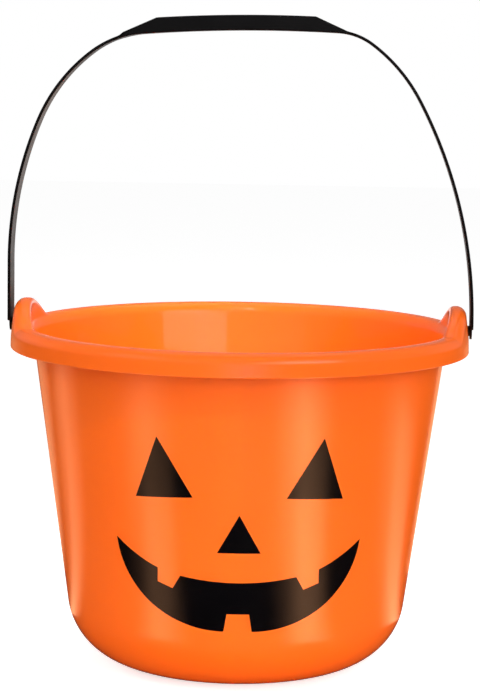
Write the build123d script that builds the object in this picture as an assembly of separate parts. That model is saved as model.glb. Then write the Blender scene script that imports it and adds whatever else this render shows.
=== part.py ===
from build123d import *
import os
from math import atan, cos, hypot, radians, sin, sqrt, tan

# Pail body, in millimetres
RIM_RADIUS = 110.0          # lower edge of the rim's skirt, the widest round of the pail
RIM_HEIGHT = 162.7          # ground to the flat top of the rim
SKIRT_DEPTH = 10.6          # rim top down to the skirt's lower edge
SKIRT_DRAFT = 1.5           # degrees that the skirt leans inwards
RIM_OVERHANG = 11.5         # outside of the wall out to the skirt's lower edge, level with that edge
WALL_TAPER = 20.7           # how far the wall draws in from there down to the ground
SHELL = 1.5                 # thickness of the moulding
FOOT_ROUND = 33.0           # outside rounding from the wall to the foot
LIP_ROUND = 5.5             # rounding of the rim's inner edge
RIM_ROUND = 4.5             # rounding of the rim's outer edge
FOOT_RING = 6.0             # width of the flat ring that the pail stands on
RECESS_DEPTH = 1.0          # hollow of the underside, inside that ring

# Ears that carry the handle
EAR_RISE = 11.2             # crown of an ear above the rim's top
EAR_ARCH_RADIUS = 47.0      # arch of an ear, seen from the side
EAR_THICKNESS = 9.5         # inner face to the skirt's outside, level with the rim's top
EAR_LEAN = 7.0              # degrees that the outer faces lean inwards above the skirt
EAR_OUTER_ROUND = 4.5       # rounding along an ear's outer edge
EAR_INNER_ROUND = 2.6       # rounding along an ear's inner edge

# Hinge of the handle
HINGE_DROP = 0.5            # rim's top down to the hinge line
STUD_RADIUS = 2.5
STUD_CLEARANCE = 0.2        # round the stud, in the ear's hole
HEAD_RADIUS = 3.6           # snap head behind the ear's outer wall
HEAD_THICKNESS = 1.8
HEAD_BEVEL = 0.9
HEAD_PLAY = 0.3             # head to the ear's outer wall

# Strap of the handle, whose arms have set differently: it stands a little towards -X
STRAP_GAP = 0.25            # rim's widest round to the strap's inner face
STRAP_THICKNESS = 1.4
STRAP_WIDTH = 15.0
STRAP_RISE = 3.0            # hinge line to the first bend of the +X arm
RIGHT_BEND_RADII = (222.0, 80.3, 30.7)      # outer face of the +X arm, from its foot up
RIGHT_BEND_TURNS = (28.7, 25.4, 33.3)       # degrees of each of those bends
LEFT_BEND_RADII = (176.0, 80.7, 47.2)       # outer face of the -X arm, from its foot up
LEFT_BEND_TURNS = (22.7, 30.0, 32.6)        # degrees of each of those bends
TONGUE_RADIUS = 4.0         # thin round end of the strap about the stud
TONGUE_THICKNESS = 1.0
TONGUE_NECK = 1.2           # hinge line up to the step where the strap starts
TONGUE_ROOT = 3.0           # length of the tongue that is one with the strap, above the step

# Grip of the handle
GRIP_MIDDLE = -3.7          # middle of the grip along X
GRIP_WIDTH = 23.0
GRIP_HEIGHT = 7.2           # underside of the web to the top of the flanges
GRIP_FLAT_HALF = 37.5       # middle of the grip to where its flanges start to taper
GRIP_TAPER = 24.0           # degrees of that taper
GRIP_HALF_LENGTH = 52.0     # middle of the grip to where it starts to narrow
FLANGE_THICKNESS = 2.0
FLARE_LENGTH = 5.5          # length over which the grip narrows to the strap

# Face stickers, seen from the front: distance from the middle of the face, height above the ground
STICKER_THICKNESS = 0.15
ADHESIVE_GAP = 0.02         # film of glue between wall and sticker
FACE_TURN = 3.2             # degrees that the face is stuck on away from square to the hinge line
EYE_CORNERS = ((37.7, 122.5), (46.8, 93.6), (21.1, 95.2))
NOSE_APEX = 87.5
NOSE_BASE = 69.7
NOSE_HALF_WIDTH = 9.8
MOUTH_TIP = (55.5, 73.1)
LIP_OUTER_MID = (45.0, 65.2)
TOP_TOOTH = ((36.6, 60.8), (36.6, 54.2), (29.7, 51.6), (26.3, 57.9))
LIP_CENTRE = 55.6
CHIN_SIDE = (48.5, 53.8)
CHIN_TURN = (38.9, 43.1)
CHIN_MID = (25.0, 35.5)
LOWER_TOOTH = ((6.4, 32.4), (5.1, 40.7))

skirt_height = RIM_HEIGHT - SKIRT_DEPTH
hinge_height = RIM_HEIGHT - HINGE_DROP
ear_top = RIM_HEIGHT + EAR_RISE
ceiling_height = RIM_HEIGHT - SHELL
rounding_height = RIM_HEIGHT - RIM_ROUND
wall_slope = WALL_TAPER / skirt_height
wall_lean = atan(wall_slope)
foot_corner = RIM_RADIUS - RIM_OVERHANG - WALL_TAPER
foot_radius = foot_corner - FOOT_ROUND * (1 / cos(wall_lean) - tan(wall_lean))
skirt_lean = radians(SKIRT_DRAFT)
ear_lean = radians(EAR_LEAN)


def wall_radius(height, grow=0.0):
    """Radius of the tapering wall's outside at a height, moved out by grow square to the wall."""
    return foot_corner + wall_slope * height + grow / cos(wall_lean)


def skirt_radius(height, grow=0.0):
    """Radius of the leaning skirt's outside at a height, moved out by grow square to the skirt."""
    return RIM_RADIUS - tan(skirt_lean) * (height - skirt_height) + grow / cos(skirt_lean)


def rounded(sketch, *corners):
    """The sketch with the corner nearest to each (x, y) rounded to the radius given with it."""
    for (x, y), radius in corners:
        corner = sketch.vertices().sort_by_distance((x, y, 0))[0]
        sketch = fillet(corner, radius)
    return sketch


def turned(sketch):
    """Solid of revolution about the pail's axis from a section drawn in radius and height."""
    return revolve(Plane.XZ * sketch, Axis.Z)


def wall_form(grow, bottom, top):
    """Filled half section of the wall and its rounded foot, moved out by grow."""
    foot = (wall_radius(bottom, grow), bottom)
    form = Polygon((0, bottom), foot, (wall_radius(top, grow), top), (0, top), align=None)
    return rounded(form, (foot, FOOT_ROUND + grow))


def channel_form():
    """Half section of the groove under the rim, between wall and skirt, open downwards."""
    below = skirt_height - SHELL
    by_wall = (wall_radius(ceiling_height), ceiling_height)
    by_skirt = (skirt_radius(ceiling_height, -SHELL), ceiling_height)
    form = Polygon(
        (wall_radius(below), below), (skirt_radius(below, -SHELL), below), by_skirt, by_wall, align=None
    )
    return rounded(form, (by_wall, LIP_ROUND - SHELL), (by_skirt, RIM_ROUND - SHELL))


def shell_form():
    """Half section of the moulding without its ears: floor, wall and rolled-over rim."""
    floor = RECESS_DEPTH + SHELL
    lip = (wall_radius(RIM_HEIGHT, -SHELL), RIM_HEIGHT)
    edge = (skirt_radius(RIM_HEIGHT), RIM_HEIGHT)
    rim = Polygon(
        (wall_radius(skirt_height), skirt_height), (RIM_RADIUS, skirt_height), edge, lip, align=None
    )
    hollow = foot_radius - FOOT_RING
    recess = Polygon(
        (0, 0), (hollow, 0), (hollow - RECESS_DEPTH, RECESS_DEPTH), (0, RECESS_DEPTH), align=None
    )
    form = wall_form(0, 0, RIM_HEIGHT) + rim - channel_form()
    form = form - wall_form(-SHELL, floor, RIM_HEIGHT) - recess
    return rounded(form, (lip, LIP_ROUND), (edge, RIM_ROUND))


def ear_radius(height, grow=0.0):
    """Radius of an ear's leaning outer face at a height, moved out by grow square to the face."""
    run = tan(ear_lean) * (height - rounding_height)
    return skirt_radius(rounding_height) - run + grow / cos(ear_lean)


def ear_outline(inset):
    """Side view of an ear: a round arch cut off below the rim's rounding, drawn in by inset."""
    arch = Pos(0, ear_top - EAR_ARCH_RADIUS) * Circle(EAR_ARCH_RADIUS - inset)
    rise = ear_top - rounding_height
    return arch & Pos(0, rounding_height + rise / 2) * Rectangle(2 * EAR_ARCH_RADIUS, rise)


def ear(inset):
    """The ear on the +X side, drawn in by inset, before its edges are rounded."""
    inner = skirt_radius(RIM_HEIGHT) - EAR_THICKNESS + inset
    low = rounding_height
    ring = turned(Polygon(
        (inner, low), (ear_radius(low, -inset), low),
        (ear_radius(ear_top, -inset), ear_top), (inner, ear_top), align=None,
    ))
    return ring & extrude(Plane.YZ * ear_outline(inset), RIM_RADIUS, dir=(1, 0, 0))


def long_edges(solid, outer):
    """The edges of an ear that run from flank to flank over its crown, on its outer or its inner face."""
    middle = skirt_radius(RIM_HEIGHT) - EAR_THICKNESS / 2

    def wanted(edge):
        point = edge @ 0.5
        return point.Z > RIM_HEIGHT and (hypot(point.X, point.Y) > middle) == outer

    return solid.edges().filter_by(wanted)


def ear_outside():
    """Outer form of the ear, with both long edges rounded."""
    form = ear(0)
    form = fillet(long_edges(form, True), EAR_OUTER_ROUND)
    return fillet(long_edges(form, False), EAR_INNER_ROUND)


def ear_hollow():
    """Space inside the ear, one shell thickness from its outer form."""
    form = ear(SHELL)
    return fillet(long_edges(form, True), EAR_OUTER_ROUND - SHELL)


def both_sides(solid):
    """A solid on the +X side together with its mirror image."""
    return solid + mirror(solid, Plane.YZ)


def along_x(radius, start, end):
    """Round bar about the hinge line from start to end along X."""
    return Pos((start + end) / 2, 0, hinge_height) * Rot(0, 90, 0) * Cylinder(radius, abs(end - start))


def make_pail_body():
    """Floor, wall, rim and hollow ears in one moulding, with a stud hole through each ear's outer wall."""
    body = turned(shell_form()) + both_sides(ear_outside())
    body = body - turned(channel_form()) - both_sides(ear_hollow())
    hollow = skirt_radius(RIM_HEIGHT) - EAR_THICKNESS / 2
    for side in (-1, 1):
        body = body - along_x(STUD_RADIUS + STUD_CLEARANCE, side * hollow, side * (RIM_RADIUS + SHELL))
    return body


strap_face = RIM_RADIUS + STRAP_GAP + STRAP_THICKNESS
strap_end = hinge_height + TONGUE_NECK
right_bends = list(zip(RIGHT_BEND_RADII, RIGHT_BEND_TURNS))
left_bends = list(zip(LEFT_BEND_RADII, LEFT_BEND_TURNS))


def arm_arcs(bends, rise):
    """Arcs of an arm's outer face, drawn on the +X side, and the point and angle where the last one ends.

    Each arc is its centre, radius, first angle and turn. The arm is straight for rise above the hinge line.
    """
    arcs = []
    angle = 0.0
    x = strap_face
    z = hinge_height + rise
    for radius, turn in bends:
        centre = (x - radius * cos(radians(angle)), z - radius * sin(radians(angle)))
        arcs.append((centre, radius, angle, turn))
        angle += turn
        x = centre[0] + radius * cos(radians(angle))
        z = centre[1] + radius * sin(radians(angle))
    return arcs, (x, z), angle


def crown_arc():
    """The arc over the grip that both arms run into: its centre, radius, first angle and turn."""
    right, right_angle = arm_arcs(right_bends, STRAP_RISE)[1:]
    left, left_angle = arm_arcs(left_bends, 0)[1:]
    radius = (right[0] + left[0]) / (cos(radians(right_angle)) + cos(radians(left_angle)))
    centre = (right[0] - radius * cos(radians(right_angle)), right[1] - radius * sin(radians(right_angle)))
    return centre, radius, right_angle, 180 - right_angle - left_angle


def left_rise():
    """Straight length of the -X arm above the hinge line that lets it meet the crown's arc."""
    centre, radius = crown_arc()[:2]
    end, angle = arm_arcs(left_bends, 0)[1:]
    return centre[1] + radius * sin(radians(angle)) - end[1]


def arm_line(bends, rise, inset):
    """Front view of one face of an arm on the +X side, from its lower end to the crown."""
    x = strap_face - inset
    line = Curve() + Line((x, strap_end), (x, hinge_height + rise))
    for centre, radius, angle, turn in arm_arcs(bends, rise)[0]:
        line = line + CenterArc(centre, radius - inset, angle, turn)
    return line


def arch_line(inset):
    """Front view of one face of the handle's arch, from end to end, inset below the strap's outer face."""
    centre, radius, angle, turn = crown_arc()
    left_arm = mirror(arm_line(left_bends, left_rise(), inset), Plane.YZ)
    crown = CenterArc(centre, radius - inset, angle, turn)
    return arm_line(right_bends, STRAP_RISE, inset) + crown + left_arm


def arch_band(outer_inset, inner_inset):
    """Front view of the arch between two of its faces."""
    outer = strap_face - outer_inset
    inner = strap_face - inner_inset
    lines = arch_line(outer_inset) + arch_line(inner_inset)
    for side in (-1, 1):
        lines = lines + Line((side * outer, strap_end), (side * inner, strap_end))
    return make_face(lines)


def grip_taper_outline():
    """Front view of the space that the flanges may fill, with their ends tapering down to the strap."""
    centre, radius = crown_arc()[:2]
    reach = radius + GRIP_HEIGHT - STRAP_THICKNESS
    roof = centre[1] + reach + GRIP_HEIGHT
    run = GRIP_HALF_LENGTH + FLARE_LENGTH - GRIP_FLAT_HALF
    drop = run * tan(radians(GRIP_TAPER))

    def end_corners(side):
        x = GRIP_MIDDLE + side * GRIP_FLAT_HALF
        start = centre[1] + sqrt(reach ** 2 - (x - centre[0]) ** 2)
        far = x + side * run
        return [(far, hinge_height), (far, start - drop), (x, start), (x, roof)]

    return Polygon(*end_corners(1), *reversed(end_corners(-1)), align=None)


def handle_plan():
    """Top view of the handle: strap, flare and grip."""
    half_strap = STRAP_WIDTH / 2
    half_grip = GRIP_WIDTH / 2

    def end_corners(side):
        reach = side * (strap_face + STRAP_THICKNESS)
        flare = GRIP_MIDDLE + side * (GRIP_HALF_LENGTH + FLARE_LENGTH)
        grip_end = GRIP_MIDDLE + side * GRIP_HALF_LENGTH
        return [(reach, half_strap), (flare, half_strap), (grip_end, half_grip)]

    back = end_corners(1) + list(reversed(end_corners(-1)))
    front = [(x, -y) for x, y in reversed(back)]
    return Polygon(*back, *front, align=None)


def tongue():
    """Thin round end of the strap on the +X side, flush with its inner face, which carries the stud."""
    top = strap_end + TONGUE_ROOT
    neck = Pos(0, (hinge_height + top) / 2) * Rectangle(2 * TONGUE_RADIUS, top - hinge_height)
    outline = neck + Pos(0, hinge_height) * Circle(TONGUE_RADIUS)
    inner_face = Plane.YZ.offset(strap_face - STRAP_THICKNESS)
    return extrude(inner_face * outline, TONGUE_THICKNESS, dir=(1, 0, 0))


def stud():
    """Snap stud on the strap's +X end: shank through the ear's outer wall, bevelled head behind it."""
    wall_face = ear_radius(hinge_height + HEAD_RADIUS, -SHELL)
    head_back = sqrt(wall_face ** 2 - HEAD_RADIUS ** 2) - HEAD_PLAY
    head_front = head_back - HEAD_THICKNESS
    shank = along_x(STUD_RADIUS, head_back, strap_face - STRAP_THICKNESS + TONGUE_THICKNESS)
    head = Polygon(
        (head_front, 0), (head_back, 0), (head_back, HEAD_RADIUS),
        (head_front + HEAD_BEVEL, HEAD_RADIUS), (head_front, HEAD_RADIUS - HEAD_BEVEL), align=None,
    )
    return shank + Pos(0, 0, hinge_height) * revolve(Plane.XZ * head, Axis.X)


def make_bail_handle():
    """Strap, gutter grip and end studs in one moulding."""
    half_grip = GRIP_WIDTH / 2
    strap = extrude(Plane.XZ * arch_band(0, STRAP_THICKNESS), half_grip, both=True)
    flange_face = arch_band(STRAP_THICKNESS - GRIP_HEIGHT, STRAP_THICKNESS) & grip_taper_outline()
    flanges = extrude(Plane.XZ * flange_face, half_grip, both=True)
    gutter = extrude(Plane.XZ * flange_face, half_grip - FLANGE_THICKNESS, both=True)
    handle = strap + (flanges - gutter)
    top = crown_arc()[0][1] + crown_arc()[1] + 2 * GRIP_HEIGHT
    handle = handle & extrude(Plane.XY * handle_plan(), top, dir=(0, 0, 1))
    return handle + both_sides(tongue() + stud())


def eye_outline(side):
    """Three-cornered eye on one side of the face."""
    return Polygon(*[(side * x, z) for x, z in EYE_CORNERS], align=None)


def nose_outline():
    """Three-cornered nose in the middle of the face."""
    return Polygon((0, NOSE_APEX), (-NOSE_HALF_WIDTH, NOSE_BASE), (NOSE_HALF_WIDTH, NOSE_BASE), align=None)


def mouth_outline():
    """Wide grin with a tooth near each end of its upper lip and one in the middle of its lower lip."""
    half = Curve() + Polyline(*TOP_TOOTH) + Polyline(*LOWER_TOOTH)
    half = half + ThreePointArc(MOUTH_TIP, LIP_OUTER_MID, TOP_TOOTH[0])
    half = half + ThreePointArc(MOUTH_TIP, CHIN_SIDE, CHIN_TURN)
    half = half + ThreePointArc(CHIN_TURN, CHIN_MID, LOWER_TOOTH[0])
    tooth_x, tooth_z = LOWER_TOOTH[1]
    lip_x, lip_z = TOP_TOOTH[3]
    lines = half + mirror(half, Plane.YZ)
    lines = lines + Line((-tooth_x, tooth_z), (tooth_x, tooth_z))
    lines = lines + ThreePointArc((-lip_x, lip_z), (0, LIP_CENTRE), (lip_x, lip_z))
    return make_face(lines)


def make_sticker(outline):
    """Vinyl sticker of a front-view outline, wrapped on the outside of the wall."""
    outside = ADHESIVE_GAP + STICKER_THICKNESS
    skin = turned(wall_form(outside, 0, skirt_height)) - turned(wall_form(ADHESIVE_GAP, 0, skirt_height))
    cutter = extrude(Plane.XZ * outline, RIM_RADIUS, dir=(0, -1, 0))
    return skin & (Rot(0, 0, FACE_TURN) * cutter)


pieces = {
    "pail_body": make_pail_body(),
    "bail_handle": make_bail_handle(),
    "left_eye_decal": make_sticker(eye_outline(-1)),
    "right_eye_decal": make_sticker(eye_outline(1)),
    "nose_decal": make_sticker(nose_outline()),
    "mouth_decal": make_sticker(mouth_outline()),
}

os.makedirs("parts", exist_ok=True)
for name, piece in pieces.items():
    export_step(piece, f"parts/{name}.step")
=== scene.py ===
from math import atan, cos, degrees, radians, sin, tan

import bpy
import numpy as np
from mathutils import Matrix, Vector


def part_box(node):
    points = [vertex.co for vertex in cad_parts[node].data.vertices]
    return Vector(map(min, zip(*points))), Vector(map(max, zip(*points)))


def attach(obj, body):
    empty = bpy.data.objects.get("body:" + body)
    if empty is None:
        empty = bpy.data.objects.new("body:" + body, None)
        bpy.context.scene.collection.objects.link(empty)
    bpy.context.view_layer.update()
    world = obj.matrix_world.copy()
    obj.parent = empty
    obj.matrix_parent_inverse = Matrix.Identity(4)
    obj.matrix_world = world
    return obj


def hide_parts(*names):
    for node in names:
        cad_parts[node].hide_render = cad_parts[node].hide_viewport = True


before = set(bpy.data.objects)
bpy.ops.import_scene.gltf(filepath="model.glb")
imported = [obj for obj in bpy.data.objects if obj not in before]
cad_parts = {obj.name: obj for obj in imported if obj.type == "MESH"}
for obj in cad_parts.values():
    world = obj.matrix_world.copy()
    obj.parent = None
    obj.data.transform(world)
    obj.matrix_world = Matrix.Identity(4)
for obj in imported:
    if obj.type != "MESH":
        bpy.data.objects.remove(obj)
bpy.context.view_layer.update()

# Pail: the open shell that the sweets go in, one injection moulding of orange polypropylene.
# Its wall, rolled-over rim and the two hollow ears that carry the handle are a single thin skin,
# drawn off the mould upwards, so the wall tapers and nothing on it is undercut.
EAR_RISE = 0.0112               # crown of an ear above the rim's top
RIM_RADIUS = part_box("pail_body")[1].x
RIM_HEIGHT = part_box("pail_body")[1].z - EAR_RISE
SKIRT_DEPTH = 0.0106            # rim top down to the skirt's lower edge
SKIRT_DRAFT = tan(radians(1.5))
RIM_OVERHANG = 0.0115           # wall out to the skirt, level with the skirt's lower edge
WALL_TAPER = 0.0207             # how far the wall draws in from there down to the ground
SHELL = 0.0015
FOOT_ROUND = 0.033
FOOT_RING = 0.006               # flat ring that the pail stands on
RECESS_DEPTH = 0.001            # hollow of the underside, inside that ring
LIP_ROUND = 0.0055
RIM_ROUND = 0.0045
EDGE_ROUND = 0.0005             # broken edges of the moulding
EAR_ARCH_RADIUS = 0.047         # arch of an ear, seen from the side
EAR_FOOT_BLEND = 0.0022         # height over which an ear's arch eases into the rim
EAR_THICKNESS = 0.0095
EAR_LEAN = tan(radians(7.0))
EAR_LEAN_EASE = 0.0015          # height over which the skirt turns into an ear's leaning face
EAR_INNER_ROUND = 0.0026
EAR_FACE_DROP = 0.002           # how far below the rim's rounding an ear's outer face starts
EAR_FOOT_SWEEP = 0.001          # height over which an ear's inner face turns into the lip
LIP_LANDING = 140               # degrees round the lip's arc where an ear's inner face ends
PAIL_STEPS_ROUND = 384
EAR_CROWDING = 0.6              # how much closer the steps round the pail are at the ears
AXIS_GAP = 0.002                # radius of the rings next to the axis
HINGE_HEIGHT = RIM_HEIGHT - 0.0005
HOLE_RADIUS = 0.0027
STEPS_ROUND_A_STUD = 48
ORANGE_DARK = (0.94, 0.134, 0.008)
ORANGE_LIGHT = (0.96, 0.140, 0.010)
OUTSIDE_ROUGHNESS = (0.17, 0.19)
INSIDE_ROUGHNESS = 0.07         # the mould's core, which makes the inside, is polished
GRAIN_DEPTH = 0.000004

skirt_height = RIM_HEIGHT - SKIRT_DEPTH
wall_slope = WALL_TAPER / skirt_height
wall_lean = atan(wall_slope)
foot_corner = RIM_RADIUS - RIM_OVERHANG - WALL_TAPER


def wall_at(height, inset=0.0):
    """Section point, radius + i height, on the wall's outside, drawn in by inset square to the wall."""
    return foot_corner + wall_slope * height - inset / cos(wall_lean) + 1j * height


def skirt_at(height, inset=0.0):
    """Section point on the skirt's outside, which leans in by the draft, drawn in by inset."""
    return RIM_RADIUS - SKIRT_DRAFT * (height - skirt_height) - inset + 1j * height


def eased(height, ease):
    """Nought below -ease, the height itself above ease, and a parabola that joins them between."""
    curve = (height + ease) ** 2 / (4 * ease)
    return np.where(height < -ease, 0.0, np.where(height > ease, height, curve))


def ear_face_at(height, inset=0.0):
    """Section point on an ear's outer face: the skirt carried up, leaning further in over the rim."""
    lean = (EAR_LEAN - SKIRT_DRAFT) * eased(height - RIM_HEIGHT + RIM_ROUND, EAR_LEAN_EASE)
    return skirt_at(height, inset) - lean


def run(start, end, count):
    """Points on a straight line between two section points, both left out, closer together near both."""
    share = (1 - np.cos(np.pi * np.arange(1, count + 1) / (count + 1))) / 2
    return start + (end - start) * share


def bend(before, corner, after, radius, count):
    """Arc that rounds a corner of the line through three section points, from tangent to tangent."""
    back = (before - corner) / abs(before - corner)
    ahead = (after - corner) / abs(after - corner)
    half = abs(np.angle(ahead / back)) / 2
    centre = corner + (back + ahead) / abs(back + ahead) * radius / sin(half)
    first = corner + back * radius / tan(half) - centre
    last = corner + ahead * radius / tan(half) - centre
    return centre + first * np.exp(1j * np.angle(last / first) * np.linspace(0, 1, count))


def hook(start, pull, end, count):
    """Quadratic curve from start to end that leaves and arrives along the lines through pull."""
    share = np.linspace(0, 1, count)
    return (1 - share) ** 2 * start + 2 * share * (1 - share) * pull + share ** 2 * end


def skin(name, rings):
    """Closed mesh over an array of rings of points, each end ring closed by a fan about its middle.

    Faces look outwards where the way round a ring, crossed with the way along the rings, points out.
    """
    count, around = rings.shape[:2]
    corner = np.arange(count * around).reshape(count, around)
    following = np.roll(corner, -1, axis=1)
    sides = np.stack([corner[:-1], following[:-1], following[1:], corner[1:]], axis=-1).reshape(-1, 4)
    middles = np.full(around, count * around)
    first_fan = np.stack([following[0], corner[0], middles], axis=-1)
    last_fan = np.stack([corner[-1], following[-1], middles + 1], axis=-1)
    points = np.concatenate([rings.reshape(-1, 3), rings[:1].mean(axis=1), rings[-1:].mean(axis=1)])
    mesh = bpy.data.meshes.new(name)
    mesh.from_pydata(points.tolist(), [], sides.tolist() + first_fan.tolist() + last_fan.tolist())
    mesh.polygons.foreach_set("use_smooth", np.ones(len(mesh.polygons), dtype=bool))
    piece = bpy.data.objects.new(name, mesh)
    bpy.context.scene.collection.objects.link(piece)
    return piece


def lathe(name, profile, steps):
    """Closed solid turned about the hinge line from a profile of x + i radius that runs towards +X."""
    angle = np.arange(steps) * 2 * np.pi / steps
    x = profile.real[:, None] + 0 * angle
    y = profile.imag[:, None] * np.cos(angle)
    z = profile.imag[:, None] * np.sin(angle) + HINGE_HEIGHT
    return skin(name, np.stack([x, y, z], axis=-1))


def combine(piece, tool, operation):
    """Cuts the tool out of the piece, or joins it on, and keeps the result as the piece's own mesh."""
    change = piece.modifiers.new("combine", "BOOLEAN")
    change.operation = operation
    change.object = tool
    change.solver = "EXACT"
    result = piece.evaluated_get(bpy.context.evaluated_depsgraph_get())
    mesh = bpy.data.meshes.new_from_object(result)
    piece.modifiers.clear()
    piece.data = mesh
    bpy.data.objects.remove(tool)


floor_height = RECESS_DEPTH + SHELL
ceiling_height = RIM_HEIGHT - SHELL
recess_edge = foot_corner - FOOT_ROUND * (1 / cos(wall_lean) - tan(wall_lean)) - FOOT_RING
recess_middle = AXIS_GAP + 1j * RECESS_DEPTH
recess_foot = recess_edge - RECESS_DEPTH + 1j * RECESS_DEPTH
under_lip = wall_at(ceiling_height)
under_rim = skirt_at(ceiling_height, SHELL)
edge_inside = skirt_at(skirt_height, SHELL)
edge_outside = skirt_at(skirt_height)
rim_corner = skirt_at(RIM_HEIGHT)
lip_corner = wall_at(RIM_HEIGHT, SHELL)
floor_corner = wall_at(floor_height, SHELL)
floor_middle = AXIS_GAP + 1j * floor_height

recess_bend = bend(recess_middle, recess_foot, recess_edge, EDGE_ROUND, 4)
ring_bend = bend(recess_foot, recess_edge, foot_corner, EDGE_ROUND, 4)
foot_bend = bend(recess_edge, foot_corner, under_lip, FOOT_ROUND, 24)
under_lip_bend = bend(foot_corner, under_lip, under_rim, LIP_ROUND - SHELL, 8)
under_rim_bend = bend(under_lip, under_rim, edge_inside, RIM_ROUND - SHELL, 10)
inner_edge_bend = bend(under_rim, edge_inside, edge_outside, EDGE_ROUND, 5)
outer_edge_bend = bend(edge_inside, edge_outside, rim_corner, EDGE_ROUND, 5)
rim_bend = bend(edge_outside, rim_corner, lip_corner, RIM_ROUND, 10)
lip_bend = bend(rim_corner, lip_corner, floor_corner, LIP_ROUND, 200)
floor_bend = bend(lip_corner, floor_corner, floor_middle, FOOT_ROUND - SHELL, 20)

# The lip's arc in two stretches: an ear's inner side grows out of the first, the second stays as it is.
lip_centre = lip_bend[0] - 1j * LIP_ROUND
lip_last = degrees(np.angle(lip_bend[-1] - lip_centre))
lip_landing = lip_centre + LIP_ROUND * np.exp(1j * radians(LIP_LANDING))
lip_upper = lip_centre + LIP_ROUND * np.exp(1j * np.radians(np.linspace(90, LIP_LANDING, 22)))
lip_lower = lip_centre + LIP_ROUND * np.exp(1j * np.radians(np.linspace(LIP_LANDING, lip_last, 11)[1:]))

# The same stretches at the crown of an ear, whose inside is hollow.
ear_top = RIM_HEIGHT + EAR_RISE
ear_inner = rim_corner.real - EAR_THICKNESS
ear_corner = ear_face_at(ear_top)
ear_inner_corner = ear_inner + 1j * ear_top
ear_bend = bend(ear_face_at(RIM_HEIGHT), ear_corner, ear_inner_corner, RIM_ROUND, 10)
ear_inner_bend = bend(ear_corner, ear_inner_corner, ear_inner + 0j, EAR_INNER_ROUND, 8)
landing_tangent = 1j * np.exp(1j * radians(LIP_LANDING))
ear_foot_pull = lip_landing + landing_tangent * (ear_inner - lip_landing.real) / landing_tangent.real
ear_foot_start = ear_foot_pull + 1j * EAR_FOOT_SWEEP
ear_inner_side = np.concatenate([
    ear_inner_bend,
    run(ear_inner_bend[-1], ear_foot_start, 8),
    hook(ear_foot_start, ear_foot_pull, lip_landing, 6),
])
hollow_top = ear_top - SHELL
hollow_inner = ear_inner + SHELL + 1j * hollow_top
hollow_corner = ear_face_at(hollow_top, SHELL)
hollow_bend = bend(ear_face_at(RIM_HEIGHT, SHELL), hollow_corner, hollow_inner, RIM_ROUND - SHELL, 10)[::-1]

face_foot = skirt_at(RIM_HEIGHT - RIM_ROUND - EAR_FACE_DROP)
face_heights = np.linspace(face_foot.imag, ear_bend[0].imag, 13)[1:-1]


def pail_section(ceiling, skirt_inside, outer_face, crown):
    """Half section of the pail from the middle of its underside, up the outside and down the inside.

    The four stretches given are the ones that differ between the plain rim and the crown of an ear.
    """
    return np.concatenate([
        run(recess_middle, recess_bend[0], 6), recess_bend,
        ring_bend, run(ring_bend[-1], foot_bend[0], 4), foot_bend,
        run(foot_bend[-1], under_lip_bend[0], 26), under_lip_bend,
        ceiling, skirt_inside,
        inner_edge_bend, outer_edge_bend, run(outer_edge_bend[-1], face_foot, 5),
        outer_face, crown, lip_lower,
        run(lip_lower[-1], floor_bend[0], 28), floor_bend, run(floor_bend[-1], floor_middle, 10),
    ])


rim_section = pail_section(
    run(under_lip_bend[-1], under_rim_bend[0], 8),
    np.concatenate([under_rim_bend, run(under_rim_bend[-1], inner_edge_bend[0], 8)]),
    run(face_foot, rim_bend[0], 11),
    np.concatenate([rim_bend, run(rim_bend[-1], lip_upper[0], 4), lip_upper]),
)
crown_section = pail_section(
    run(under_lip_bend[-1], hollow_inner, 8),
    np.concatenate([hollow_bend, run(hollow_bend[-1], inner_edge_bend[0], 8)]),
    ear_face_at(face_heights),
    np.concatenate([ear_bend, run(ear_bend[-1], ear_inner_bend[0], 4), ear_inner_side]),
)

# Round the pail: the section goes from the rim's to the crown's as far as the ear's arch has risen there.
even_angle = np.arange(PAIL_STEPS_ROUND) * 2 * np.pi / PAIL_STEPS_ROUND
pail_angle = even_angle - EAR_CROWDING * np.sin(2 * even_angle) / 2
along_ear = (ear_inner + EAR_THICKNESS / 2) * np.sin(pail_angle)
arch = np.sqrt(np.maximum(EAR_ARCH_RADIUS ** 2 - along_ear ** 2, 0)) - EAR_ARCH_RADIUS + EAR_RISE
ear_share = eased(arch, EAR_FOOT_BLEND) / EAR_RISE
section = rim_section[:, None] + ear_share * (crown_section - rim_section)[:, None]
pail_rings = np.stack([
    section.real * np.cos(pail_angle), section.real * np.sin(pail_angle), section.imag,
], axis=-1)
pail = skin("moulded_pail", pail_rings)

# Holes for the handle's studs, through the outer wall of each ear.
for side in (-1, 1):
    ends = sorted((side * (ear_inner + EAR_THICKNESS / 2), side * (RIM_RADIUS + SHELL)))
    hole = np.array(ends) + 1j * HOLE_RADIUS
    combine(pail, lathe("stud_hole", hole, STEPS_ROUND_A_STUD), "DIFFERENCE")
pail.data.set_sharp_from_angle(angle=radians(50))


def node_material(name):
    """A new node material: its node tree, its shader and its Object coordinates."""
    material = bpy.data.materials.new(name)
    material.use_nodes = True
    tree = material.node_tree
    coordinates = tree.nodes.new("ShaderNodeTexCoord")
    return material, tree, tree.nodes["Principled BSDF"], coordinates.outputs["Object"]


def noise(tree, where, scale, detail):
    """Soft random pattern from 0 to 1, whose patches are about 1/scale metres across."""
    node = tree.nodes.new("ShaderNodeTexNoise")
    node.inputs["Scale"].default_value = scale
    node.inputs["Detail"].default_value = detail
    tree.links.new(where, node.inputs["Vector"])
    return node.outputs["Fac"]


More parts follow.
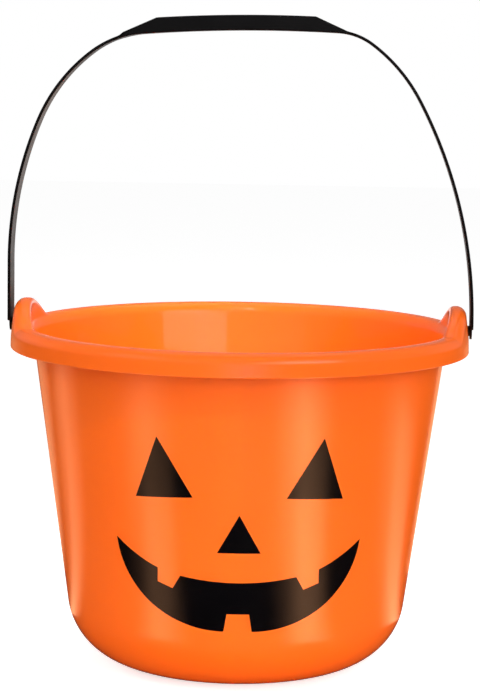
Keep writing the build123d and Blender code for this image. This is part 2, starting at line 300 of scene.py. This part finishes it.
def spread(tree, value, low, high, socket):
    """Sends a 0 to 1 pattern to a socket as numbers from low to high."""
    node = tree.nodes.new("ShaderNodeMapRange")
    node.inputs["From Min"].default_value = 0.3
    node.inputs["From Max"].default_value = 0.7
    node.inputs["To Min"].default_value = low
    node.inputs["To Max"].default_value = high
    tree.links.new(value, node.inputs["Value"])
    tree.links.new(node.outputs["Result"], socket)


def shades(tree, value, dark, light, socket):
    """Sends a 0 to 1 pattern to a colour socket as shades between two colours."""
    node = tree.nodes.new("ShaderNodeValToRGB")
    node.color_ramp.elements[0].position = 0.3
    node.color_ramp.elements[1].position = 0.7
    node.color_ramp.elements[0].color = (*dark, 1)
    node.color_ramp.elements[1].color = (*light, 1)
    tree.links.new(value, node.inputs["Fac"])
    tree.links.new(node.outputs["Color"], socket)


def relief(tree, shader, value, depth):
    """Raises the surface by a 0 to 1 pattern, depth metres from its lowest to its highest."""
    node = tree.nodes.new("ShaderNodeBump")
    node.inputs["Strength"].default_value = 1.0
    node.inputs["Distance"].default_value = depth
    tree.links.new(value, node.inputs["Height"])
    tree.links.new(node.outputs["Normal"], shader.inputs["Normal"])


orange, tree, shader, place = node_material("orange_polypropylene")
shades(tree, noise(tree, place, 14, 1), ORANGE_DARK, ORANGE_LIGHT, shader.inputs["Base Color"])
polish = tree.nodes.new("ShaderNodeAttribute")
polish.attribute_name = "polish"
finish = tree.nodes.new("ShaderNodeMix")
tree.links.new(polish.outputs["Fac"], finish.inputs["Factor"])
spread(tree, noise(tree, place, 90, 2), *OUTSIDE_ROUGHNESS, finish.inputs["A"])
finish.inputs["B"].default_value = INSIDE_ROUGHNESS
tree.links.new(finish.outputs["Result"], shader.inputs["Roughness"])
relief(tree, shader, noise(tree, place, 500, 1), GRAIN_DEPTH)
shader.inputs["Specular IOR Level"].default_value = 0.5
points = np.empty((len(pail.data.vertices), 3))
pail.data.vertices.foreach_get("co", points.ravel())
point_x, point_y, point_z = points.T
inside = np.hypot(point_x, point_y) < wall_at(point_z, SHELL / 2).real
inside &= (point_z > RECESS_DEPTH + SHELL / 2) & (point_z < RIM_HEIGHT - LIP_ROUND)
pail.data.attributes.new("polish", "FLOAT", "POINT").data.foreach_set("value", inside.astype(float))
pail.data.materials.clear()
pail.data.materials.append(orange)
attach(pail, "pail")
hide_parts("pail_body")

# Vinyl film: what the face's four stickers are cut from, black and glossy, with glue on its back.
# They are pressed on the pail's wall by hand, a few degrees off square to the handle's hinge line.
GLUE_FILM = 0.00002
VINYL_FILM = 0.00015
FACE_TURN = radians(3.2)
STICKER_ROWS = 10
TIP = 0.00003                   # a sticker's points are cut blunt by this much
COLUMN_WIDTH = 0.001
VINYL_DARK = (0.0010, 0.0008, 0.0012)
VINYL_LIGHT = (0.0020, 0.0016, 0.0020)
VINYL_ROUGHNESS = (0.17, 0.21)
VINYL_RELIEF = 0.000004


def columns(*breaks):
    """Places across a sticker from its first break to its last, about a column apart, breaks included."""
    spans = [
        np.linspace(start, end, max(2, round((end - start) / COLUMN_WIDTH) + 1))
        for start, end in zip(breaks, breaks[1:])
    ]
    return np.unique(np.concatenate(spans))


def through(x, start, middle, end):
    """Height at x of the circle through three points of the face."""
    first, second, third = (complex(*point) for point in (start, middle, end))
    ratio = (third - first) / (second - first)
    centre = first + (second - first) * (ratio - abs(ratio) ** 2) / (2j * ratio.imag)
    radius = abs(first - centre)
    rise = np.sqrt(np.maximum(radius ** 2 - (x - centre.real) ** 2, 0))
    return centre.imag + np.copysign(rise, second.imag - centre.imag)


def sticker(name, node, x, lower, upper):
    """Thin film between two edge lines of the face, thrown straight back on the wall and wrapped on it.

    Each ring goes down the film's front and up its back at one place across the face.
    """
    share = np.linspace(1, 0, STICKER_ROWS)
    height = lower[:, None] + (upper - lower)[:, None] * share
    height = np.concatenate([height, height[:, ::-1]], axis=1)
    lift = np.repeat([GLUE_FILM + VINYL_FILM, GLUE_FILM], STICKER_ROWS)
    radius = wall_at(height, -lift).real
    across = x[:, None] + 0 * height
    away = np.sqrt(radius ** 2 - across ** 2)
    rings = np.stack([
        across * cos(FACE_TURN) + away * sin(FACE_TURN),
        across * sin(FACE_TURN) - away * cos(FACE_TURN),
        height,
    ], axis=-1)
    piece = skin(name, rings)
    piece.data.set_sharp_from_angle(angle=radians(40))
    piece.data.materials.append(black_vinyl)
    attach(piece, "pail")
    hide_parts(node)


black_vinyl, tree, shader, place = node_material("black_vinyl")
shades(tree, noise(tree, place, 35, 3), VINYL_DARK, VINYL_LIGHT, shader.inputs["Base Color"])
spread(tree, noise(tree, place, 120, 2), *VINYL_ROUGHNESS, shader.inputs["Roughness"])
relief(tree, shader, noise(tree, place, 300, 1), VINYL_RELIEF)
shader.inputs["Specular IOR Level"].default_value = 0.17

# Eyes: two leaning triangles of the film, the left one the mirror image of the right one.
# Each is one piece, cut with sharp points and pressed on the upper half of the wall.
EYE_OUTER = (0.0468, 0.0936)
EYE_APEX = (0.0377, 0.1225)
EYE_INNER = (0.0211, 0.0952)

eye_x = columns(EYE_INNER[0] + TIP, EYE_APEX[0], EYE_OUTER[0] - TIP)
eye_lower = np.interp(eye_x, *zip(EYE_INNER, EYE_OUTER))
eye_upper = np.interp(eye_x, *zip(EYE_INNER, EYE_APEX, EYE_OUTER))
sticker("right_eye_sticker", "right_eye_decal", eye_x, eye_lower, eye_upper)
sticker("left_eye_sticker", "left_eye_decal", -eye_x[::-1], eye_lower[::-1], eye_upper[::-1])

# Nose: one small upright triangle of the film, a thumb's width across.
# It is pressed on the middle of the face, between the eyes and the mouth.
NOSE_HALF_WIDTH = 0.0098
NOSE_BASE = 0.0697
NOSE_APEX = 0.0875

nose_x = columns(TIP - NOSE_HALF_WIDTH, 0, NOSE_HALF_WIDTH - TIP)
nose_lower = np.full(len(nose_x), NOSE_BASE)
nose_upper = NOSE_APEX + (NOSE_BASE - NOSE_APEX) * abs(nose_x) / NOSE_HALF_WIDTH
sticker("nose_sticker", "nose_decal", nose_x, nose_lower, nose_upper)

# Mouth: a wide grin, one piece of the film, with two teeth left out above and one below.
# Its right half is drawn from arcs through a few points and mirrored for the left.
MOUTH_TIP = (0.0555, 0.0731)
LIP_OUTER_MID = (0.045, 0.0652)
TOP_TOOTH = ((0.0366, 0.0608), (0.0366, 0.0542), (0.0297, 0.0516), (0.0263, 0.0579))
LIP_CENTRE = 0.0556
CHIN_SIDE = (0.0485, 0.0538)
CHIN_TURN = (0.0389, 0.0431)
CHIN_MID = (0.0250, 0.0355)
LOWER_TOOTH = ((0.0064, 0.0324), (0.0051, 0.0407))

tooth_outer = TOP_TOOTH[0][0]
tooth_inner = TOP_TOOTH[3][0]
half_x = columns(
    0, LOWER_TOOTH[1][0], LOWER_TOOTH[0][0], tooth_inner, TOP_TOOTH[2][0],
    tooth_outer - TIP, tooth_outer, CHIN_TURN[0], MOUTH_TIP[0] - TIP,
)
lip_inner = through(half_x, (-tooth_inner, TOP_TOOTH[3][1]), (0, LIP_CENTRE), TOP_TOOTH[3])
lip_outer = through(half_x, MOUTH_TIP, LIP_OUTER_MID, TOP_TOOTH[0])
tooth_edge = np.interp(half_x, *zip(TOP_TOOTH[3], TOP_TOOTH[2], TOP_TOOTH[1]))
half_upper = np.where(half_x < tooth_inner, lip_inner, np.where(half_x < tooth_outer, tooth_edge, lip_outer))
chin_inner = through(half_x, CHIN_TURN, CHIN_MID, LOWER_TOOTH[0])
chin_outer = through(half_x, MOUTH_TIP, CHIN_SIDE, CHIN_TURN)
notch_edge = np.interp(half_x, *zip(LOWER_TOOTH[1], LOWER_TOOTH[0]))
half_lower = np.where(
    half_x < LOWER_TOOTH[0][0], notch_edge, np.where(half_x < CHIN_TURN[0], chin_inner, chin_outer)
)
sticker(
    "mouth_sticker", "mouth_decal",
    np.concatenate([-half_x[:0:-1], half_x]),
    np.concatenate([half_lower[:0:-1], half_lower]),
    np.concatenate([half_upper[:0:-1], half_upper]),
)

# Handle: a strap with a gutter-shaped hand grip at its top, one moulding of black polypropylene.
# Its ends thin down to round tongues with studs that snap into the ears, and it swings on them.
# The two arms have taken a different set, so that it stands a little towards -X.
STRAP_GAP = 0.00025             # rim's widest round to the strap's inner face
STRAP_THICKNESS = 0.0014
STRAP_HALF_WIDTH = 0.0075
STRAP_RISE = 0.003              # hinge line to the first bend of the +X arm
RIGHT_BEND_RADII = (0.222, 0.0803, 0.0307)
RIGHT_BEND_TURNS = (28.7, 25.4, 33.3)
LEFT_BEND_RADII = (0.176, 0.0807, 0.0472)
LEFT_BEND_TURNS = (22.7, 30.0, 32.6)
TONGUE_RADIUS = 0.004
TONGUE_THICKNESS = 0.001
TONGUE_LENGTH = 0.0052          # tip of the tongue to the step where the strap starts
STRAP_CORNER_ROUND = 0.001      # lower corners of the strap, above that step
GRIP_MIDDLE = -0.0037
GRIP_HALF_WIDTH = 0.0115
GRIP_HEIGHT = 0.0072            # underside of the web to the top of the flanges
GRIP_FLAT_HALF = 0.0375
GRIP_TAPER = tan(radians(24))
GRIP_HALF_LENGTH = 0.052
FLANGE_THICKNESS = 0.002
FLANGE_FOOT_ROUND = 0.0008
FLARE_LENGTH = 0.0055
STRAP_EDGE_ROUND = 0.00055
STUD_RADIUS = 0.0025
HEAD_RADIUS = 0.0036
HEAD_BEVEL = 0.0009
HEAD_BACK = 0.107035            # hinge's middle to the side of a stud's head that holds it in the ear
HEAD_FRONT = 0.105235
TIP_START = 0.04                # radians round the tongue's tip, and round the strap's lower corners,
CORNER_START = 0.15             # at which their first rings lie
STEP_LEAD = 0.0004              # last ring before the step, and first one after the corners
STEP_RUN = 0.00001              # half of the length along which the step rises
STRAP_RINGS = 430
NARROW = 0.004                  # below this half width the section shrinks as a whole
BLACK_DARK = (0.0015, 0.0014, 0.0016)
BLACK_LIGHT = (0.0028, 0.0026, 0.0028)
BLACK_ROUGHNESS = (0.32, 0.37)
BLACK_GRAIN_DEPTH = 0.000004

# The strap's inner face, seen from the front: straight, three bends, the crown, three bends, straight.
turns = [*RIGHT_BEND_TURNS, 180 - sum(RIGHT_BEND_TURNS) - sum(LEFT_BEND_TURNS), *LEFT_BEND_TURNS[::-1]]
radii = np.array([*RIGHT_BEND_RADII, 0, *LEFT_BEND_RADII[::-1]]) - STRAP_THICKNESS
heading = np.radians(90 + np.concatenate([[0], np.cumsum(turns)]))
side_steps = np.diff(np.sin(heading))
up_steps = -np.diff(np.cos(heading))
strap_face = RIM_RADIUS + STRAP_GAP
radii[3] = 0
radii[3] = (-2 * strap_face - radii @ side_steps) / side_steps[3]
left_rise = STRAP_RISE + radii @ up_steps
lengths = np.concatenate([
    [0, TONGUE_RADIUS + STRAP_RISE], radii * np.diff(heading), [left_rise + TONGUE_RADIUS],
])
knots = np.cumsum(lengths)
strap_length = knots[-1]

# Places along it: close together round the tongue's tip and at the step, then about a millimetre apart.
tip_places = TONGUE_RADIUS * (1 - np.cos(np.linspace(TIP_START, np.pi / 2, 14)))
step_places = TONGUE_LENGTH + np.array([-STEP_LEAD, -STEP_RUN, STEP_RUN])
corner_share = 1 - np.cos(np.linspace(CORNER_START, np.pi / 2, 8))
corner_places = TONGUE_LENGTH + STRAP_CORNER_ROUND * corner_share
end_places = np.concatenate([tip_places, step_places, corner_places, corner_places[-1:] + STEP_LEAD])
middle_places = np.linspace(end_places[-1], strap_length - end_places[-1], STRAP_RINGS)[1:-1]
places = np.concatenate([end_places, middle_places, strap_length - end_places[::-1]])
from_tip = np.minimum(places, strap_length - places)

# Position: every short step goes along the mean of its two headings.
place_heading = np.interp(places, knots, np.concatenate([[heading[0]], heading, [heading[-1]]]))
mean_heading = (place_heading[1:] + place_heading[:-1]) / 2
turn_by = np.diff(place_heading)
chord = np.diff(places) * np.sinc(turn_by / (2 * np.pi))
start_z = HINGE_HEIGHT - TONGUE_RADIUS + places[0]
strap_x = strap_face + np.concatenate([[0], np.cumsum(chord * np.cos(mean_heading))])
strap_z = start_z + np.concatenate([[0], np.cumsum(chord * np.sin(mean_heading))])
out_x = np.sin(place_heading)
out_z = -np.cos(place_heading)

# Width: the round tongue, the strap's rounded lower corners, the strap, and the flare to the grip.
tongue_half = np.sqrt(np.maximum(TONGUE_RADIUS ** 2 - np.maximum(TONGUE_RADIUS - from_tip, 0) ** 2, 0))
into_corner = np.clip(TONGUE_LENGTH + STRAP_CORNER_ROUND - from_tip, 0, STRAP_CORNER_ROUND)
strap_half = STRAP_HALF_WIDTH - STRAP_CORNER_ROUND + np.sqrt(STRAP_CORNER_ROUND ** 2 - into_corner ** 2)
from_middle = abs(strap_x - GRIP_MIDDLE)
flare = np.clip((GRIP_HALF_LENGTH + FLARE_LENGTH - from_middle) / FLARE_LENGTH, 0, 1)
flare = flare ** 2 * (3 - 2 * flare)
half_width = np.where(from_tip < TONGUE_LENGTH, tongue_half, strap_half)
half_width = half_width + (GRIP_HALF_WIDTH - STRAP_HALF_WIDTH) * flare
thickness = np.where(from_tip < TONGUE_LENGTH, TONGUE_THICKNESS, STRAP_THICKNESS) / STRAP_THICKNESS

# Flanges: full height over the grip's middle, cut off by a straight slope towards each end.
grip_side = np.sign(strap_x - GRIP_MIDDLE)
flange_top = strap_z + GRIP_HEIGHT * out_z
right_flat_end = np.argmin(abs(strap_x - GRIP_MIDDLE - GRIP_FLAT_HALF))
left_flat_end = np.argmin(abs(strap_x - GRIP_MIDDLE + GRIP_FLAT_HALF))
slope_start = np.where(grip_side > 0, flange_top[right_flat_end], flange_top[left_flat_end])
slope_rise = slope_start - GRIP_TAPER * (from_middle - GRIP_FLAT_HALF) - strap_z
flange = slope_rise / (out_z + GRIP_TAPER * grip_side * out_x)
flange = np.clip((flange - STRAP_THICKNESS) / (GRIP_HEIGHT - STRAP_THICKNESS), 0, 1)
flange = flange * np.clip((GRIP_HALF_LENGTH + FLARE_LENGTH / 2 - from_middle) / FLANGE_THICKNESS, 0, 1)


def half_ring(half, flange_height):
    """Half of the section, across + i outwards, from the middle of the underside round to the web's top.

    With flanges it goes up and over one; on the plain strap the same points lie along its outer face.
    """
    edge = STRAP_EDGE_ROUND
    far = half + 1j * flange_height
    low = bend(0j, half + 0j, far, edge, 6)
    if flange_height > STRAP_THICKNESS:
        inner = far - FLANGE_THICKNESS
        foot = inner.real + 1j * STRAP_THICKNESS
        over = bend(half + 0j, far, inner, edge, 6)
        back = bend(far, inner, foot, edge, 6)
        landing = bend(inner, foot, 1j * STRAP_THICKNESS, FLANGE_FOOT_ROUND, 6)
        crown = np.concatenate([back, run(back[-1], landing[0], 6), landing])
    else:
        over = bend(half + 0j, far, 1j * STRAP_THICKNESS, edge, 6)
        crown = run(over[-1], over[-1] - FLANGE_THICKNESS, 18)
    under = run(0j, low[0], 5)
    upright_side = run(low[-1], over[0], 4)
    web_top = run(crown[-1], 1j * STRAP_THICKNESS, 5)
    return np.concatenate([under, low, upright_side, over, crown, web_top])


def whole_ring(half, flange_height):
    """The half section and its mirror image as one closed loop that starts at the +Y edge's side."""
    one = half_ring(half, flange_height)
    return np.concatenate([-np.conj(one), one[::-1]])


plain = whole_ring(NARROW, STRAP_THICKNESS)
gutter = whole_ring(NARROW, GRIP_HEIGHT)
edge_side = np.sign(plain.real) * np.minimum(abs(plain.real) / (NARROW - FLANGE_THICKNESS), 1)
shrink = np.minimum(half_width / NARROW, 1)[:, None]
widen = np.maximum(half_width - NARROW, 0)[:, None] * edge_side
across = plain.real * shrink + widen + flange[:, None] * (gutter - plain).real
outwards = plain.imag * thickness[:, None] + flange[:, None] * (gutter - plain).imag
handle_rings = np.stack([
    strap_x[:, None] + outwards * out_x[:, None],
    across,
    strap_z[:, None] + outwards * out_z[:, None],
], axis=-1)
handle = skin("strap_handle", handle_rings)

stud_root = strap_face + TONGUE_THICKNESS / 2
stud = np.array([
    HEAD_FRONT + 1j * (HEAD_RADIUS - HEAD_BEVEL), HEAD_FRONT + HEAD_BEVEL + 1j * HEAD_RADIUS,
    HEAD_BACK + 1j * HEAD_RADIUS, HEAD_BACK + 1j * STUD_RADIUS, stud_root + 1j * STUD_RADIUS,
])
combine(handle, lathe("stud", stud, STEPS_ROUND_A_STUD), "UNION")
combine(handle, lathe("stud", -np.conj(stud[::-1]), STEPS_ROUND_A_STUD), "UNION")
handle.data.set_sharp_from_angle(angle=radians(40))

black, tree, shader, place = node_material("black_polypropylene")
shades(tree, noise(tree, place, 60, 3), BLACK_DARK, BLACK_LIGHT, shader.inputs["Base Color"])
spread(tree, noise(tree, place, 150, 2), *BLACK_ROUGHNESS, shader.inputs["Roughness"])
relief(tree, shader, noise(tree, place, 900, 1), BLACK_GRAIN_DEPTH)
shader.inputs["Specular IOR Level"].default_value = 0.14
handle.data.materials.clear()
handle.data.materials.append(black)
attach(handle, "bail")
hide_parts("bail_handle")

# Floor: a wide sheet of white paper under the pail, which fades into the white room behind it.
# It keeps the pail's shadow, and shows as white where nothing shades it.
FLOOR_HALF = 4.0
FLOOR_GLOW = 0.7                # lifts the paper to white where the camera sees it
GLOW_MIRRORED = 0.01            # what gloss shows of that
PAPER_TONE = 0.82
TONE_MIRRORED = 0.02            # how dark the paper is in gloss


def by_ray(tree, carried, seen, mirrored):
    """A number that differs for rays that carry light, show the thing itself or show it in gloss.

    It is carried + camera x (seen - carried) + (glossy + transmission) x (mirrored - carried).
    """
    paths = tree.nodes.new("ShaderNodeLightPath")
    total = None
    values = {"Is Camera Ray": seen, "Is Glossy Ray": mirrored, "Is Transmission Ray": mirrored}
    for name, value in values.items():
        more = tree.nodes.new("ShaderNodeMath")
        more.operation = "MULTIPLY_ADD"
        more.inputs[1].default_value = value - carried
        more.inputs[2].default_value = carried
        tree.links.new(paths.outputs[name], more.inputs[0])
        if total:
            tree.links.new(total, more.inputs[2])
        total = more.outputs["Value"]
    return total


floor_mesh = bpy.data.meshes.new("floor")
floor_mesh.from_pydata(
    [(x * FLOOR_HALF, y * FLOOR_HALF, 0) for x, y in ((-1, -1), (1, -1), (1, 1), (-1, 1))], [], [(0, 1, 2, 3)]
)
floor = bpy.data.objects.new("floor", floor_mesh)
bpy.context.scene.collection.objects.link(floor)
paper, tree, shader, place = node_material("white_paper")
tree.links.new(by_ray(tree, PAPER_TONE, PAPER_TONE, TONE_MIRRORED), shader.inputs["Base Color"])
shader.inputs["Roughness"].default_value = 0.9
shader.inputs["Specular IOR Level"].default_value = 0.1
shader.inputs["Emission Color"].default_value = (1, 1, 1, 1)
tree.links.new(by_ray(tree, 0, FLOOR_GLOW, GLOW_MIRRORED), shader.inputs["Emission Strength"])
floor_mesh.materials.append(paper)

# Light: a white room with softboxes to the right of the camera, and weaker ones left, ahead and overhead.
# Small lamps help the pail's edges, inside and foot, and a pale card behind it shows in the strap.
# Gloss shows the room and the softboxes dimly, so that the pail's colour is as even as in the photograph.
ROOM_LIGHT = 0.34
ROOM_MIRRORED = 0.22
LAMPS_MIRRORED = 0.28           # share of a softbox's light that comes from the face that gloss shows

world = bpy.data.worlds.new("white_room")
bpy.context.scene.world = world
world.use_nodes = True
tree = world.node_tree
room = tree.nodes["Background"]
room.inputs["Color"].default_value = (1, 1, 1, 1)
tree.links.new(by_ray(tree, ROOM_LIGHT, 1, ROOM_MIRRORED), room.inputs["Strength"])


def lamp(name, position, target, width, height, brightness, beam=180):
    """Rectangular lamp that faces the target, with the brightness of its face where white paper has 1."""
    data = bpy.data.lights.new(name, "AREA")
    data.shape = "RECTANGLE"
    data.size = width
    data.size_y = height
    data.spread = radians(beam)
    data.energy = brightness * np.pi * width * height
    lamp_object = bpy.data.objects.new(name, data)
    bpy.context.scene.collection.objects.link(lamp_object)
    lamp_object.location = position
    lamp_object.rotation_euler = (Vector(target) - Vector(position)).to_track_quat("-Z", "Y").to_euler()
    lamp_object.visible_camera = False
    return lamp_object


def softbox(name, position, target, width, height, brightness, beam=180):
    """Lamp in two parts: gloss mirrors the first, a dim face, and the second gives the rest of its light."""
    seen = brightness * LAMPS_MIRRORED
    lamp(name, position, target, width, height, seen, beam)
    lamp(name + "_light", position, target, width, height, brightness - seen, beam).visible_glossy = False


def around(azimuth, distance, height):
    """Point at an azimuth from the camera's side of the pail, positive towards +X, in degrees."""
    return (distance * sin(radians(azimuth)), -distance * cos(radians(azimuth)), height)


softbox("window_softbox", around(31, 1.15, 0.45), (0, 0, 0.15), 0.86, 0.32, 4.8)
softbox("right_softbox", around(36, 1.0, 0.58), (0, 0, 0.14), 0.50, 0.50, 5.3)
softbox("left_softbox", around(-52, 0.9, 0.65), (0, 0, 0.14), 0.50, 0.50, 2.1)
lamp("left_edge_lamp", around(-120, 0.9, 0.35), (0, 0, 0.10), 0.30, 0.40, 0.8, 50).visible_glossy = False
lamp("right_edge_lamp", around(120, 0.9, 0.35), (0, 0, 0.10), 0.30, 0.40, 0.6, 50).visible_glossy = False
softbox("front_softbox", around(-4, 1.4, 0.48), (0, 0, 0.15), 1.90, 0.50, 0.80)
softbox("top_softbox", around(180, 0.45, 1.20), (0, 0, 0.14), 0.80, 0.60, 2.2)
lamp("inside_lamp", around(0, 0.60, 0.90), (-0.02, 0.07, 0.14), 0.12, 0.12, 3.4, 16).visible_glossy = False
lamp("back_card", around(180, 1.2, 0.14), (0, 0, 0.15), 0.60, 0.16, 1.1).visible_diffuse = False
lamp("low_lamp", around(5, 0.85, 0.05), (0, -0.08, 0.02), 0.40, 0.06, 1.9, 30).visible_glossy = False

# Reflector cards: pale wedges on the paper round the pail, which only its gloss shows.
# Each is brightest along its middle and shows in the wall as one soft column.
CARD_HEIGHT = 0.002
CARD_COLOUR = (1.0, 0.5, 0.26, 1)

reflector, tree, shader, place = node_material("reflector_card")
card_glow = tree.nodes.new("ShaderNodeAttribute")
card_glow.attribute_name = "glow"
shader.inputs["Base Color"].default_value = (0, 0, 0, 1)
shader.inputs["Specular IOR Level"].default_value = 0
shader.inputs["Emission Color"].default_value = CARD_COLOUR
tree.links.new(card_glow.outputs["Fac"], shader.inputs["Emission Strength"])


def reflector_card(name, azimuths, reaches, half_spread, brightness):
    """Wedge on the paper from a near to a far line round the pail, dark at its sides and bright between."""
    angle = np.radians(np.array(azimuths)[:, None] + np.array([-half_spread, 0, half_spread]))
    reach = np.array(reaches)[:, None]
    corners = np.stack([reach * np.sin(angle), -reach * np.cos(angle), CARD_HEIGHT + 0 * angle], axis=-1)
    mesh = bpy.data.meshes.new(name)
    mesh.from_pydata(corners.reshape(-1, 3).tolist(), [], [(0, 3, 4, 1), (1, 4, 5, 2)])
    glow = np.array(brightness)[:, None] * np.array([0.0, 1.0, 0.0])
    mesh.attributes.new("glow", "FLOAT", "POINT").data.foreach_set("value", glow.ravel())
    mesh.materials.append(reflector)
    card = bpy.data.objects.new(name, mesh)
    bpy.context.scene.collection.objects.link(card)
    card.visible_camera = False
    card.visible_diffuse = False
    card.visible_transmission = False
    card.visible_volume_scatter = False
    card.visible_shadow = False


reflector_card("left_card", (-31, -49), (0.11, 0.45), 16, (5.0, 4.2))
reflector_card("right_card", (36, 36), (0.11, 0.44), 16, (7.4, 9.2))
reflector_card("far_left_card", (-110, -110), (0.11, 0.62), 16, (2.2, 2.6))
reflector_card("back_left_card", (-152, -152), (0.20, 1.80), 24, (1.2, 0.6))
reflector_card("back_right_card", (152, 152), (0.20, 1.80), 24, (1.7, 0.6))
reflector_card("far_right_card", (102, 102), (0.11, 0.50), 20, (2.9, 2.9))

# Camera: a long lens a little above the rim's height and a little to the right of the face.
# It stands where the outlines of rim, wall and foot in the photograph put it.
LENS = 120.55
CAMERA_DISTANCE = 1.1173
CAMERA_AZIMUTH = radians(2.5)
CAMERA_ELEVATION = radians(7.29)
CAMERA_ROLL = radians(0.90)
AIM_HEIGHT = 0.15256
AIM_SIDE = 0.00014

back = Vector((
    sin(CAMERA_AZIMUTH) * cos(CAMERA_ELEVATION),
    -cos(CAMERA_AZIMUTH) * cos(CAMERA_ELEVATION),
    sin(CAMERA_ELEVATION),
))
level = Vector((cos(CAMERA_AZIMUTH), sin(CAMERA_AZIMUTH), 0))
upright = back.cross(level)
rightwards = level * cos(CAMERA_ROLL) + upright * sin(CAMERA_ROLL)
upwards = upright * cos(CAMERA_ROLL) - level * sin(CAMERA_ROLL)
camera_data = bpy.data.cameras.new("camera")
camera_data.lens = LENS
camera_data.sensor_width = 36
camera = bpy.data.objects.new("camera", camera_data)
bpy.context.scene.collection.objects.link(camera)
camera_turn = Matrix((rightwards, upwards, back)).transposed().to_4x4()
camera_place = level * AIM_SIDE + Vector((0, 0, AIM_HEIGHT)) + back * CAMERA_DISTANCE
camera.matrix_world = Matrix.Translation(camera_place) @ camera_turn
bpy.context.scene.camera = camera
bpy.context.scene.view_settings.view_transform = "Standard"
